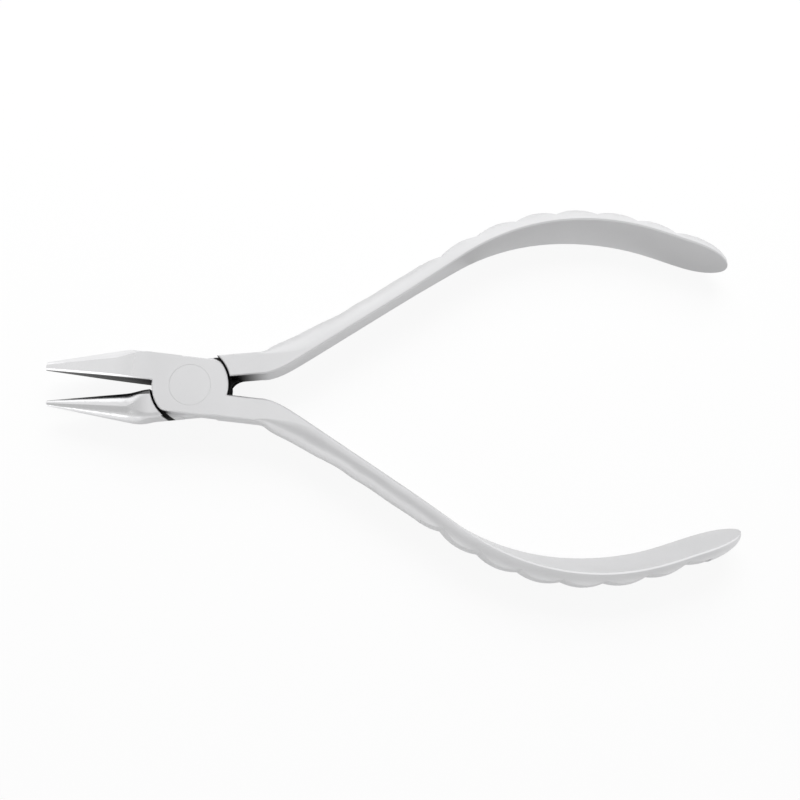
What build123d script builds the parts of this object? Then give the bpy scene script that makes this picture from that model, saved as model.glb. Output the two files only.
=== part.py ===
"""Bird-beak orthodontic pliers: two lapped steel halves turning on a flush rivet.

The pivot axis is Z, with the origin at the middle of the rivet's rear face. The beaks point to -X and
the handles to +X. Each half is drawn shut, with its beak on the +Y side and its handle on the -Y side,
then turned by half_open to the pose of the photo. The rear half is the mirror image of that drawing.
"""
import os
from math import copysign, cos, radians, sin, sqrt, tan

from build123d import *

# Joint
joint_thickness = 7.4
half_open = 5.88
plate_radius = 7.1
plate_half_height = 5.35
plate_corner_round = 2.0
plate_edge_break = 0.2
shoulder_gap = 0.42
lap_gap = 0.04
front_crotch_fillet = 1.0
rear_crotch_fillet = 2.6

# Rivet with a flush taper head at each end
edge_break = 0.12
head_radius = 3.95
shank_radius = 2.9
head_land = 0.35
running_clearance = 0.03

# Handle path: bend, straight shaft, belly arc, return arc, straight tail
handle_inset = 1.0
root_length = 5.3
bend_radius = 13.9
splay = 27.4
shaft_length = 38.4
belly_radius = 44.4
return_radius = 49.4
return_angle = 23.5
tail_length = 15.0

# Handle section: flat inner face, upright sides, domed back
corner_break = 0.25
crown = 0.15
root_rise = 0.5
arch_angle = 180.0
shaft_side_height = 0.6
dome_length = 13.0
bend_height = 5.15
bend_peak = 3.5
neck_height = 3.8
neck_run = 20.0
belly_height = 4.2
tail_height = 3.4
shaft_width = 7.9
paddle_width = 8.4
paddle_twist = 20.0
twist_start = 30.0
twist_stop = 79.0
end_round = 8.5
end_turn = 84.0
station_count = 22
end_station_count = 5

# Finger scallops on the back of the paddle
scallop_count = 7
scallop_first = 42.5
scallop_pitch = 7.75
scallop_depth = 0.7
scallop_seat = 0.3
scallop_draft_angle = 12.0

# Both beaks
beak_gap = 0.1
jaw_land = 0.2
jaw_station_count = 14

# Square beak: flat closing face and sides, back ground to two bevels on each side
square_reach = 27.7
square_tip_height = 1.6
square_tip_width = 1.1
square_height_slope = 0.272
square_height_run = 7.0
square_width_run = 12.0
square_corner_break = 0.4
back_share = 0.34
low_bevel_rise = 0.45
low_bevel_run = 0.12
high_bevel_run = 0.36

# Round beak: a cone that runs out into a bar with rounded corners
round_setback = 0.3
round_tip_radius = 0.5
round_tip_break = 0.2
cone_half_angle = 8.6
cone_relief = 0.03
cone_roundness = 0.97
runout_length = 4.7
round_corner_break = 1.0

mid_height = joint_thickness / 2
recess_radius = plate_radius + shoulder_gap
plate_flat = sqrt(plate_radius ** 2 - plate_half_height ** 2)
root_end = recess_radius + root_length
root_height = plate_half_height - handle_inset + crown
root_side = root_height - root_rise
jaw_end = recess_radius + jaw_land
jaw_height = plate_half_height - beak_gap / 2 + crown
round_reach = square_reach - round_setback
cone_root = jaw_end + runout_length


def ease(start, stop, where):
    """Smooth step: 0 before start, 1 after stop."""
    share = min(max((where - start) / (stop - start), 0), 1)
    return share * share * (3 - 2 * share)


def taper(start, run, where):
    """Length of a taper past its start, which it enters over a run as a parabola, then straight on."""
    past = max(where - start, 0)
    return past ** 2 / (2 * run) if past < run else past - run / 2


def arched_section(plane, width, side, rise, corner):
    """Flat base with broken corners along the plane's X, upright sides, an elliptical arch over them."""
    half = width / 2
    with BuildSketch(plane) as section:
        with BuildLine():
            Polyline(
                (-half, side),
                (-half, corner),
                (corner - half, 0),
                (half - corner, 0),
                (half, corner),
                (half, side),
            )
            EllipticalCenterArc((0, side), half, rise, start_angle=0, arc_size=arch_angle)
        make_face()
    return section.sketch


def bevelled_section(plane, width, side, rise, corner):
    """Flat base with broken corners along the plane's X, upright sides, two bevels a side to a flat back."""
    half = width / 2
    right = [
        (half - corner, 0),
        (half, corner),
        (half, side),
        (half - low_bevel_run * width, side + low_bevel_rise * rise),
        (half - high_bevel_run * width, side + rise),
    ]
    left = [(-across, up) for across, up in reversed(right)]
    with BuildSketch(plane) as section:
        with BuildLine():
            Polyline(*right, *left, close=True)
        make_face()
    return section.sketch


# Handle path, along the middle of the flat inner face
with BuildLine(Plane.XY.offset(mid_height)) as handle_path:
    bend = JernArc((root_end, -handle_inset), (1, 0), bend_radius, -splay)
    shaft = Line(bend @ 1, bend @ 1 + (bend % 1) * shaft_length)
    belly = JernArc(shaft @ 1, shaft % 1, belly_radius, splay)
    turn = JernArc(belly @ 1, belly % 1, return_radius, return_angle)
    tail = Line(turn @ 1, turn @ 1 + (turn % 1) * tail_length)

path = handle_path.wires()[0]
shaft_stop = bend.length + shaft.length
belly_stop = shaft_stop + belly.length
round_start = path.length - end_round
scallop_stop = scallop_first + (scallop_count - 1) * scallop_pitch


def seated(where):
    """Share of the extra dome height that the scallops are cut from, faded out over half a pitch."""
    fade_in = ease(scallop_first - scallop_pitch / 2, scallop_first, where)
    return fade_in * (1 - ease(scallop_stop, scallop_stop + scallop_pitch / 2, where))


def handle_sizes(where):
    """Width, side height, arch rise and twist of the handle at a distance along the path."""
    paddle = ease(twist_start, twist_stop, where)
    domed = ease(0, dome_length, where)
    width = joint_thickness + (shaft_width - joint_thickness) * domed
    width += (paddle_width - shaft_width) * paddle
    height = root_height + (bend_height - root_height) * ease(0, bend_peak, where)
    height += (neck_height - bend_height) * ease(bend_peak, bend_peak + neck_run, where)
    height += (belly_height - neck_height) * ease(shaft_stop, belly_stop, where)
    height += (tail_height - belly_height) * ease(belly_stop, path.length, where)
    height += scallop_seat * seated(where)
    side = root_side + (shaft_side_height - root_side) * domed
    return width, side, height - side, paddle_twist * paddle


def handle_plane(where, twist):
    """Section plane: X across the inner face, Y out through the dome, Z along the path."""
    along = path.tangent_at(where / path.length)
    lean = radians(twist)
    across = (along.Y * sin(lean), -along.X * sin(lean), cos(lean))
    return Plane(path.position_at(where / path.length), x_dir=across, z_dir=along)


def scallop_point(count, beyond=0):
    """Point of the scalloped outline, count valleys past the first one."""
    where = scallop_first + count * scallop_pitch
    width, side, rise, twist = handle_sizes(where)
    lean = radians(twist)
    reach = side * cos(lean) + sqrt((rise * cos(lean)) ** 2 + (width / 2 * sin(lean)) ** 2)
    drop = scallop_seat * seated(where) + scallop_depth * (2 * (count % 1) - 1) ** 2
    along = path.tangent_at(where / path.length)
    return path.position_at(where / path.length) + Vector(along.Y, -along.X) * (reach - drop + beyond)


# Handle, shared by both halves: straight root, lofted shaft and paddle with a rounded end, then scallops
# with a forging draft to both sides of their middle line
with BuildPart() as handle:
    for step in range(station_count + 1):
        station = round_start * step / station_count
        width, side, rise, twist = handle_sizes(station)
        add(arched_section(handle_plane(station, twist), width, side, rise, corner_break))
    for step in range(1, end_station_count + 1):
        turned = radians(end_turn * step / end_station_count)
        station = round_start + end_round * sin(turned)
        shrink = cos(turned)
        width, side, rise, twist = handle_sizes(station)
        plane = handle_plane(station, twist)
        add(arched_section(plane, width * shrink, side * shrink, rise * shrink, corner_break * shrink))
    loft()
    add(arched_section(handle_plane(0, 0), joint_thickness, root_side, root_rise, corner_break))
    extrude(amount=root_end - plate_flat / 2, dir=(-1, 0, 0))
    with BuildSketch(Plane.XY.offset(mid_height)):
        with BuildLine():
            last = scallop_count - 1
            ThreePointArc(scallop_point(-0.5), scallop_point(-0.25), scallop_point(0))
            for lobe in range(last):
                ThreePointArc(scallop_point(lobe), scallop_point(lobe + 0.5), scallop_point(lobe + 1))
            ThreePointArc(scallop_point(last), scallop_point(last + 0.25), scallop_point(last + 0.5))
            outside = [scallop_point(last + 0.5 - step, belly_height) for step in range(scallop_count + 1)]
            Polyline(scallop_point(last + 0.5), *outside, scallop_point(-0.5))
        make_face()
    extrude(amount=paddle_width / 2, both=True, taper=-scallop_draft_angle, mode=Mode.SUBTRACT)


def jaw_plane(reach):
    """Beak section plane: X along the pivot axis, Y out from the closing face, Z to the tip."""
    return Plane((-reach, beak_gap / 2, mid_height), x_dir=(0, 0, 1), z_dir=(-1, 0, 0))


def square_sizes(reach):
    """Width, side height, back rise and corner of the square beak at a distance from the pivot."""
    grown = ease(jaw_end, jaw_end + square_height_run, reach)
    height = square_tip_height + square_height_slope * (square_reach - reach)
    height = jaw_height + (height - jaw_height) * grown
    narrowed = taper(jaw_end, square_width_run, reach) / taper(jaw_end, square_width_run, square_reach)
    width = joint_thickness + (square_tip_width - joint_thickness) * narrowed
    rise = crown + (back_share * height - crown) * grown
    corner = corner_break + (square_corner_break - corner_break) * grown
    return width, height - rise, rise, corner


# Square beak, with the straight bar that joins it to its plate
with BuildPart() as square_jaw:
    for step in range(jaw_station_count + 1):
        reach = jaw_end + (square_reach - jaw_end) * step / jaw_station_count
        add(bevelled_section(jaw_plane(reach), *square_sizes(reach)))
    loft()
    add(bevelled_section(jaw_plane(jaw_end), *square_sizes(jaw_end)))
    extrude(amount=jaw_end - plate_flat / 2, dir=(1, 0, 0))


def cone_radius(reach):
    """Radius of the round beak's cone at a distance from the pivot."""
    return round_tip_radius + (round_reach - reach) * tan(radians(cone_half_angle))


def round_section(reach, radius):
    """Rounded rectangle that turns from the bar at the joint into the cone, on the closing side of both."""
    grown = ease(jaw_end, cone_root, reach)
    width = joint_thickness + (2 * radius - joint_thickness) * grown
    height = jaw_height + (2 * radius - jaw_height) * grown
    corner = round_corner_break + (cone_roundness * radius - round_corner_break) * grown
    middle = cone_relief + cone_radius(reach)
    with BuildSketch(jaw_plane(reach)) as section:
        with Locations((0, jaw_height / 2 + (middle - jaw_height / 2) * grown)):
            RectangleRounded(width, height, corner)
    return section.sketch


# Round beak: bar, runout from square to round, cone, broken tip
with BuildPart() as round_jaw:
    for step in range(jaw_station_count + 1):
        reach = jaw_end + runout_length * step / jaw_station_count
        add(round_section(reach, cone_radius(reach)))
    loft()
    add(round_section(jaw_end, cone_radius(jaw_end)))
    extrude(amount=jaw_end - plate_flat / 2, dir=(1, 0, 0))
    tip_start = round_reach - round_tip_break
    add(round_section(cone_root, cone_radius(cone_root)))
    add(round_section(tip_start, cone_radius(tip_start)))
    loft()
    add(round_section(tip_start, cone_radius(tip_start)))
    add(round_section(round_reach, round_tip_radius - round_tip_break))
    loft()


def rivet_profile(clearance):
    """Half profile of the rivet, or of its seat when it has a clearance."""
    head = head_radius + clearance
    shank = shank_radius + clearance
    depths = [0, edge_break, head_land, head_land + head_radius - shank_radius]
    radii = [head - edge_break, head, head, shank]
    rear = list(zip(radii, depths))
    front = [(radius, joint_thickness - depth) for radius, depth in reversed(rear)]
    with BuildSketch(Plane.XZ) as profile:
        with BuildLine():
            Polyline((0, 0), *rear, *front, (0, joint_thickness), close=True)
        make_face()
    return profile.sketch


def lap_plate(start, stop):
    """Lap plate: a disc cropped to the height of the joint, between two heights."""
    with BuildPart() as plate:
        with BuildSketch(Plane.XY.offset(start)):
            Circle(plate_radius)
            Rectangle(2 * plate_radius, 2 * plate_half_height, mode=Mode.INTERSECT)
        extrude(amount=stop - start)
        fillet(plate.edges().filter_by(Axis.Z), plate_corner_round)
        chamfer(plate.faces().filter_by(Axis.Z).edges(), plate_edge_break)
    return plate.part


def recess_profile(floor, rim):
    """Half profile of the round recess for the other plate, from its floor out past a bevelled rim."""
    out = copysign(plate_edge_break, rim - floor)
    wide = recess_radius + 2 * plate_edge_break
    with BuildSketch(Plane.XZ) as profile:
        with BuildLine():
            Polyline(
                (0, floor),
                (recess_radius, floor),
                (recess_radius, rim - out),
                (wide, rim + out),
                (0, rim + out),
                close=True,
            )
        make_face()
    return profile.sketch


def lapped_half(jaw, floor, face, clearance, crotch_fillet):
    """One half, drawn shut: handle, lap plate from floor to face, jaw, recess for the other plate, seat."""
    with BuildPart() as half:
        add(handle.part)
        add(lap_plate(min(floor, face), max(floor, face)))
        crotch = (sqrt(plate_radius ** 2 - handle_inset ** 2), -handle_inset, (floor + face) / 2)
        fillet(half.edges().filter_by(Axis.Z).sort_by_distance(crotch)[0], crotch_fillet)
        add(jaw)
        add(recess_profile(floor, joint_thickness - face))
        revolve(axis=Axis.Z, mode=Mode.SUBTRACT)
        add(rivet_profile(clearance))
        revolve(axis=Axis.Z, mode=Mode.SUBTRACT)
    return half.part


front_floor = mid_height + lap_gap / 2
rear_floor = mid_height - lap_gap / 2
front_shut = lapped_half(
    square_jaw.part, front_floor, joint_thickness, running_clearance, front_crotch_fillet
)
rear_shut = lapped_half(round_jaw.part, rear_floor, 0, 0, rear_crotch_fillet)

with BuildPart() as front_half:
    add(front_shut, rotation=(0, 0, -half_open))

with BuildPart() as rear_mirrored:
    mirror(rear_shut, about=Plane.XZ)

with BuildPart() as rear_half:
    add(rear_mirrored.part, rotation=(0, 0, half_open))

with BuildPart() as pivot_rivet:
    add(rivet_profile(0))
    revolve(axis=Axis.Z)

os.makedirs("parts", exist_ok=True)
front_half.part.label = "front_half"
export_step(front_half.part, "parts/front_half.step")
rear_half.part.label = "rear_half"
export_step(rear_half.part, "parts/rear_half.step")
pivot_rivet.part.label = "pivot_rivet"
export_step(pivot_rivet.part, "parts/pivot_rivet.step")
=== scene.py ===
# %% [markdown]
# # Bird-beak orthodontic pliers
#
# The real tool is forged stainless steel: two lapped halves, one with a square beak and one with a round
# beak, turning on a rivet that is ground flush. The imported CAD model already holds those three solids,
# so this lesson keeps their shapes and spends its care on finish, edges and light.

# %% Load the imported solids
from math import cos, radians, sin

import bpy
import numpy as np
from mathutils import Matrix, Vector


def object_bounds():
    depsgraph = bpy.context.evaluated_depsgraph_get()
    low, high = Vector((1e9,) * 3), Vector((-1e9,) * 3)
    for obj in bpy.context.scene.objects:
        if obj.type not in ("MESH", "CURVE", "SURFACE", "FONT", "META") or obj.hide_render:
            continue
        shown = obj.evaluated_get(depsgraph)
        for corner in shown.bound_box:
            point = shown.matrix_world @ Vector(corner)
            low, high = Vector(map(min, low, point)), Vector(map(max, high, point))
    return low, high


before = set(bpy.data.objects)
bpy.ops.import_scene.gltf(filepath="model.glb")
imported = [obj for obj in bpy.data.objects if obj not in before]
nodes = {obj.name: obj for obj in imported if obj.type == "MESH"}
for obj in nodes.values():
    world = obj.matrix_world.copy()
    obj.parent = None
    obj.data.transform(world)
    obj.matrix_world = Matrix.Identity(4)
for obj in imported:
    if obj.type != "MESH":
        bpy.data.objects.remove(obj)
cad_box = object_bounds()
MM = 0.001
print("solids", sorted(nodes), "box in mm", [[round(v / MM, 2) for v in corner] for corner in cad_box])

# %% [markdown]
# ## Helpers for materials
#
# Colours are picked as screen values, but a shader works in linear light, so one function converts them.
# A second one adds a shader node with its settings and its links, which keeps each finish readable. Two
# short forms of it follow, for sums and for ranges, because a finish is mostly made of those.


# %% Colour and node helpers
def linear(hex_colour):
    """Linear RGBA of an sRGB hex colour: a straight toe, then a power curve of 2.4."""
    srgb = np.array([int(hex_colour[i : i + 2], 16) / 255 for i in (1, 3, 5)])
    light = np.where(srgb <= 0.04045, srgb / 12.92, ((srgb + 0.055) / 1.055) ** 2.4)
    return (*light.tolist(), 1.0)


def add_node(tree, kind, inputs=None, **settings):
    """Add one node; an input that is a socket becomes a link, any other input is set as a value."""
    node = tree.nodes.new(kind)
    for name, value in settings.items():
        setattr(node, name, value)
    for name, value in (inputs or {}).items():
        if isinstance(value, bpy.types.NodeSocket):
            tree.links.new(value, node.inputs[name])
        else:
            node.inputs[name].default_value = value
    return node


def maths(tree, operation, *values):
    """The result of one sum on numbers or sockets."""
    return add_node(tree, "ShaderNodeMath", dict(enumerate(values)), operation=operation).outputs[0]


def ranged(tree, value, start, stop, low=0.0, high=1.0, kind="LINEAR"):
    """A value that runs from low to high while another runs from start to stop."""
    limits = {"Value": value, "From Min": start, "From Max": stop, "To Min": low, "To Max": high}
    return add_node(tree, "ShaderNodeMapRange", limits, interpolation_type=kind).outputs[0]


print("#dadada is", [round(v, 3) for v in linear("#dadada")])

# %% [markdown]
# ## Painted shade in the gaps
#
# The closing faces and the narrow gap round the lap plate look dark, because they mirror each other and
# the shade between them. That shade is painted here: the steel's colour and its mirrored light are
# darkened in three regions of each half: a ring in the gap about the pivot, the crotch where the handles
# meet, and the closing face of the beak. Each region is the product of a few soft limits in millimetres.
# They are measured in the half as it was drawn, with the beaks shut, so that the painted shade turns
# with the half.

# %% Painted shade in the gaps
JOINT_MIDDLE = 3.7
BEAK_REACH = 27.4


def region(tree, limits, most=1.0):
    """How deep a point lies in a region: each limit is a measure, where it starts and where it is full."""
    inside = most
    for measure, start, full in limits:
        edge = ranged(tree, measure, start * MM, full * MM, kind="SMOOTHSTEP")
        inside = maths(tree, "MULTIPLY", inside, edge)
    return inside


def painted_gap_shade(tree, place, opened, closing_spread, closing_most, ring_side):
    """The painted shade on a half that is opened by some degrees; on a beak it widens from the tip by a
    spread.
    """
    shut = add_node(tree, "ShaderNodeMapping", {0: place, "Rotation": (0, 0, radians(-opened))}).outputs[0]
    flat = add_node(tree, "ShaderNodeVectorMath", {0: shut, 1: (1, 1, 0)}, operation="MULTIPLY").outputs[0]
    radius = add_node(tree, "ShaderNodeVectorMath", {0: flat}, operation="LENGTH").outputs["Value"]
    along, across, height = add_node(tree, "ShaderNodeSeparateXYZ", {0: shut}).outputs
    aside = maths(tree, "ABSOLUTE", across)
    depth = maths(tree, "ABSOLUTE", maths(tree, "SUBTRACT", height, JOINT_MIDDLE * MM))
    closing = maths(tree, "MULTIPLY_ADD", along, -closing_spread, aside)
    tip = BEAK_REACH * closing_spread
    past_plate = (radius, 6.8, 6.95)
    ring = (past_plate, (radius, 7.9, 7.6), (depth, 3.5, 3.3), (aside, ring_side, ring_side - 0.3))
    crotch = (past_plate, (radius, 15, 7.5), (depth, 3.6, 3.4), (aside, 2.6, 2.2), (along, 4, 5))
    face = ((along, -7.2, -7.7), (closing, tip + 0.18, tip + 0.1))
    gaps = maths(tree, "MAXIMUM", region(tree, ring), region(tree, crotch))
    return maths(tree, "MAXIMUM", gaps, region(tree, face, closing_most))


print("film limits are drawn", JOINT_MIDDLE, "mm above the rear face")

# %% [markdown]
# ## Satin stainless steel
#
# The halves are ground and then brushed to a satin, so they mirror the studio softly. The brush leaves
# fine lines along the handles. The beaks were polished after that: they mirror sharply and send back a
# little more light. A material per region would do, but one material with a smooth mask along X also
# shows the blend between the two finishes, as on the real tool.

# %% Satin steel with polished beaks
STEEL = "#e0e0e1"
POLISH_ROUGHNESS = 0.13
POLISH_GAIN = 1.17
PAINTED_SHADE_LEVEL = 0.04
# The real lines are about 0.03 mm apart, too fine for the image, so they are drawn 0.25 mm apart.
LINE_PITCH = 0.25
LINE_LENGTH = 60 * LINE_PITCH
CLOUD_SIZE = 9


def brushed_lines(tree, place, grain_turn):
    """Noise that is drawn out into lines along a handle, which lies at grain_turn degrees."""
    turn = (0, 0, radians(-grain_turn))
    turned = add_node(tree, "ShaderNodeMapping", {0: place, "Rotation": turn}).outputs[0]
    per_line = 1 / (LINE_PITCH * MM)
    scale = (1 / (LINE_LENGTH * MM), per_line, per_line)
    drawn_out = add_node(tree, "ShaderNodeMapping", {0: turned, "Scale": scale}).outputs[0]
    lines = {"Vector": drawn_out, "Scale": 1.0, "Detail": 3.0}
    return add_node(tree, "ShaderNodeTexNoise", lines).outputs["Fac"]


def satin_steel(name, opened, grain_turn, satin, closing_spread, closing_most, ring_side):
    """Brushed steel of a half, with its beak polished and painted shade darkening its gaps."""
    material = bpy.data.materials.new(name)
    material.use_nodes = True
    tree = material.node_tree
    shader = tree.nodes["Principled BSDF"]
    shader.inputs["Metallic"].default_value = 1.0
    place = add_node(tree, "ShaderNodeTexCoord").outputs["Object"]
    along = add_node(tree, "ShaderNodeSeparateXYZ", {0: place}).outputs["X"]
    beak = ranged(tree, along, -6 * MM, -15 * MM, kind="SMOOTHSTEP")
    brush = brushed_lines(tree, place, grain_turn)
    # Roughness: satin with a little drift from the brush, smooth on the beaks.
    drift = ranged(tree, brush, 0.3, 0.7, satin - 0.03, satin + 0.03)
    blend = {"Factor": beak, "A": drift, "B": POLISH_ROUGHNESS}
    rough = add_node(tree, "ShaderNodeMix", blend, data_type="FLOAT").outputs[0]
    tree.links.new(rough, shader.inputs["Roughness"])
    # Colour: clouds of a few grey levels where the brush pressed harder. A polished face sends back more
    # light than a brushed one, whose fine grooves swallow some of it. Painted shade darkens the gaps
    # nearly to black.
    clouds = {"Vector": place, "Scale": 1 / (CLOUD_SIZE * MM), "Detail": 2.0}
    tint = ranged(tree, add_node(tree, "ShaderNodeTexNoise", clouds).outputs["Fac"], 0.3, 0.7, 0.965, 1.0)
    gain = ranged(tree, beak, 0, 1, 1.0, POLISH_GAIN)
    painted_shade = painted_gap_shade(tree, place, opened, closing_spread, closing_most, ring_side)
    shade = ranged(tree, painted_shade, 0, 1, 1.0, PAINTED_SHADE_LEVEL)
    level = maths(tree, "MULTIPLY", maths(tree, "MULTIPLY", tint, gain), shade)
    steel = {0: linear(STEEL)[:3], "Scale": level}
    colour = add_node(tree, "ShaderNodeVectorMath", steel, operation="SCALE").outputs[0]
    tree.links.new(colour, shader.inputs["Base Color"])
    # The painted shade also darkens the mirrored light in the gaps, through the specular tint.
    tree.links.new(shade, shader.inputs["Specular Tint"])
    # The lines are also a faint relief, which the polish nearly takes away.
    strength = ranged(tree, beak, 0, 1, 0.03, 0.005)
    relief = {"Height": brush, "Strength": strength, "Distance": 0.02 * MM}
    tree.links.new(add_node(tree, "ShaderNodeBump", relief).outputs[0], shader.inputs["Normal"])
    return material


print("steel", STEEL, "lines", LINE_PITCH, "mm apart")

# %% [markdown]
# ## Dressing the three solids
#
# Each half gets its own steel, because its lines follow its own handle and its painted shade turns with it.
# On the round beak the painted shade widens towards the joint, as the shade between the beaks does. The
# modifier evens the shading of the ground faces, which the CAD triangles would otherwise break up.

# %% Finishes of the three pieces
HALF_OPEN = 5.88
SHAFT_TURN = 33.3
# The last three numbers shape the painted gap shade: spread along the beak, strength on the closing face,
# ring width.
finishes = {
    "front_half": satin_steel("satin_steel_front", -HALF_OPEN, -SHAFT_TURN, 0.42, 0.0, 0.8, 5.2),
    "rear_half": satin_steel("satin_steel_rear", HALF_OPEN, SHAFT_TURN, 0.42, 0.045, 0.86, 5.75),
    "pivot_rivet": satin_steel("satin_steel_rivet", HALF_OPEN, 60.0, 0.40, 0.0, 0.0, 5.2),
}
for node, steel in finishes.items():
    nodes[node].data.materials.clear()
    nodes[node].data.materials.append(steel)
    even = nodes[node].modifiers.new("even_shading", "WEIGHTED_NORMAL")
    even.keep_sharp = True
print("finishes", [steel.name for steel in finishes.values()])

# %% [markdown]
# ## White table
#
# The tool lies on a white table. The table's own colour gives the white: to the camera, and to the steel
# that mirrors it, a share of it is plain white, and the rest is a matt surface that keeps the soft shadow.
# Away from the tool the matt share fades out, so that the table is lost in the white room.

# %% Table
floor_z = cad_box[0].z
half = 1.5
corners = [(x * half, y * half, floor_z) for x, y in ((-1, -1), (1, -1), (1, 1), (-1, 1))]
mesh = bpy.data.meshes.new("table_top")
mesh.from_pydata(corners, [], [(0, 1, 2, 3)])
table_top = bpy.data.objects.new("table_top", mesh)
bpy.context.scene.collection.objects.link(table_top)


def shows_white(tree, to_camera, to_steel):
    """How much plain white a ray meets: one share for the camera, one for mirrored and see-through rays."""
    path = add_node(tree, "ShaderNodeLightPath").outputs
    bent = maths(tree, "MAXIMUM", path["Is Glossy Ray"], path["Is Transmission Ray"])
    steel = maths(tree, "MULTIPLY", bent, to_steel)
    camera = maths(tree, "MULTIPLY", path["Is Camera Ray"], to_camera)
    return maths(tree, "MAXIMUM", steel, camera)


table_white = bpy.data.materials.new("matt_white_table")
table_white.use_nodes = True
tree = table_white.node_tree
matt = tree.nodes["Principled BSDF"]
matt.inputs["Base Color"].default_value = linear("#f4f4f4")
matt.inputs["Roughness"].default_value = 0.9
glow = add_node(tree, "ShaderNodeEmission", {"Color": linear("#ffffff"), "Strength": 1.0}).outputs[0]
spot = add_node(tree, "ShaderNodeTexCoord").outputs["Object"]
reach = add_node(tree, "ShaderNodeVectorMath", {0: spot}, operation="LENGTH").outputs["Value"]
white = shows_white(tree, ranged(tree, reach, 150 * MM, 600 * MM, 0.9, 1.0, "SMOOTHSTEP"), 0.45)
mixed = add_node(tree, "ShaderNodeMixShader", {0: white, 1: matt.outputs[0], 2: glow}).outputs[0]
tree.links.new(mixed, tree.nodes["Material Output"].inputs["Surface"])
table_top.data.materials.append(table_white)
print("table at z", round(floor_z / MM, 2), "mm")

# %% [markdown]
# ## White room
#
# The room round the table is plain white to the camera and to the steel. To everything else it is dimmer,
# so that the lamps can still draw a shadow on the table.

# %% White room
world = bpy.data.worlds.new("white_room")
bpy.context.scene.world = world
world.use_nodes = True
tree = world.node_tree
room = tree.nodes["Background"]
room.inputs["Color"].default_value = linear("#ffffff")
tree.links.new(ranged(tree, shows_white(tree, 1.0, 1.0), 0, 1, 0.4, 1.0), room.inputs["Strength"])
print("room", world.name)

# %% [markdown]
# ## Cards and soft boxes
#
# Steel has no colour of its own to speak of: it looks like what it mirrors. So a studio has two kinds of
# things for it: grey cards, which only the steel sees here, and soft boxes, which are lamps.


# %% Helpers for the studio
def aim(thing, place, target):
    """Put a lamp or card at a place in millimetres, looking at a target."""
    thing.location = Vector(place) * MM
    thing.rotation_euler = (Vector(target) * MM - thing.location).to_track_quat("-Z", "Y").to_euler()


def soft_box(name, place, target, size, brightness):
    """An area lamp whose face adds about the given brightness to what the steel sees behind it."""
    lamp = bpy.data.lights.new(name, "AREA")
    lamp.shape = "RECTANGLE"
    lamp.size, lamp.size_y = (side * MM for side in size)
    lamp.energy = brightness * np.pi * lamp.size * lamp.size_y
    box = bpy.data.objects.new(name, lamp)
    aim(box, place, target)
    box.visible_camera = False
    bpy.context.scene.collection.objects.link(box)
    return box


def card(name, place, target, size, level):
    """A grey board that only the steel sees, at a level where 1 is white: it stands for a studio wall; the
    sheet on the table is painted shade.
    """
    wide, high = (side / 2 * MM for side in size)
    corners = [(-wide, -high, 0), (wide, -high, 0), (wide, high, 0), (-wide, high, 0)]
    board = bpy.data.meshes.new(name)
    board.from_pydata(corners, [], [(0, 1, 2, 3)])
    paint = bpy.data.materials.new(name + "_paint")
    paint.use_nodes = True
    tree = paint.node_tree
    grey = add_node(tree, "ShaderNodeEmission", {"Color": linear("#ffffff"), "Strength": level}).outputs[0]
    tree.links.new(grey, tree.nodes["Material Output"].inputs["Surface"])
    board.materials.append(paint)
    thing = bpy.data.objects.new(name, board)
    bpy.context.scene.collection.objects.link(thing)
    aim(thing, place, target)
    thing.visible_camera = thing.visible_diffuse = thing.visible_shadow = False
    return thing


print("studio helpers", [helper.__name__ for helper in (aim, soft_box, card)])

# %% [markdown]
# ## Soft studio light
#
# A broad soft box on the far side brightens the faces that look away from us, and a grey card on the near
# side calms those that look towards us, which is how the two sides of each handle part from each other.
# Two cards on the left tone the beaks and a small strip whitens their bevels. A grey sheet on the table,
# which only the steel sees, is painted shade: it darkens what the inner face of the upper paddle mirrors.
# The key box lights the table and casts the shadow, and the steel doesn't mirror it.

# %% Studio
cards = [
    card("near_card", (39, -330, 560), (39, 0, 560), (1600, 1000), 0.72),
    card("left_card", (-300, 230, 600), (0, 230, 600), (340, 800), 0.86),
    card("left_flag", (-300, -135, 600), (0, -135, 600), (390, 800), 0.56),
    # Painted shade: this sheet stands for shade on the table between the handles.
    card("painted_shade_sheet", (84, 15, -0.6), (84, 15, 100), (60, 24), 0.54),
]
boxes = [
    soft_box("far_soft_box", (39, 330, 460), (39, 0, 460), (1600, 900), 0.18),
    soft_box("near_beak_strip", (-225, -325, 60), (-225, 0, 60), (130, 120), 0.6),
    soft_box("key_soft_box", (39, 380, 300), (39, 0, 0), (400, 250), 7.5),
]
boxes[-1].visible_glossy = False
print("cards", [thing.name for thing in cards])
print("lamps", [(box.name, round(box.data.energy, 2)) for box in boxes])

# %% [markdown]
# ## Camera
#
# The photograph looks almost straight down on the tool. Its place was worked out from the pivot, the
# beak tips and the edges of the handles.

# %% Camera
azimuth, elevation, roll = radians(-19.943), radians(80.624), radians(20.572)
distance, focal_pixels, image_pixels = 176.262, 915.263, 800
looked_at = Vector((39.484, -1.711, JOINT_MIDDLE))
back = Vector((sin(azimuth) * cos(elevation), -cos(azimuth) * cos(elevation), sin(elevation)))
right = Vector((cos(azimuth), sin(azimuth), 0))
up = back.cross(right)
right_rolled = cos(roll) * right + sin(roll) * up
up_rolled = cos(roll) * up - sin(roll) * right
turn = Matrix((right_rolled, up_rolled, back)).transposed().to_4x4()
camera = bpy.data.objects.new("camera", bpy.data.cameras.new("camera"))
camera.data.sensor_width = 36
camera.data.lens = focal_pixels / image_pixels * camera.data.sensor_width
camera.data.clip_start = 0.01
camera.matrix_world = Matrix.Translation((looked_at + back * distance) * MM) @ turn
bpy.context.scene.collection.objects.link(camera)
bpy.context.scene.camera = camera
bpy.context.scene.view_settings.view_transform = "Standard"
print("lens", round(camera.data.lens, 2), "mm")
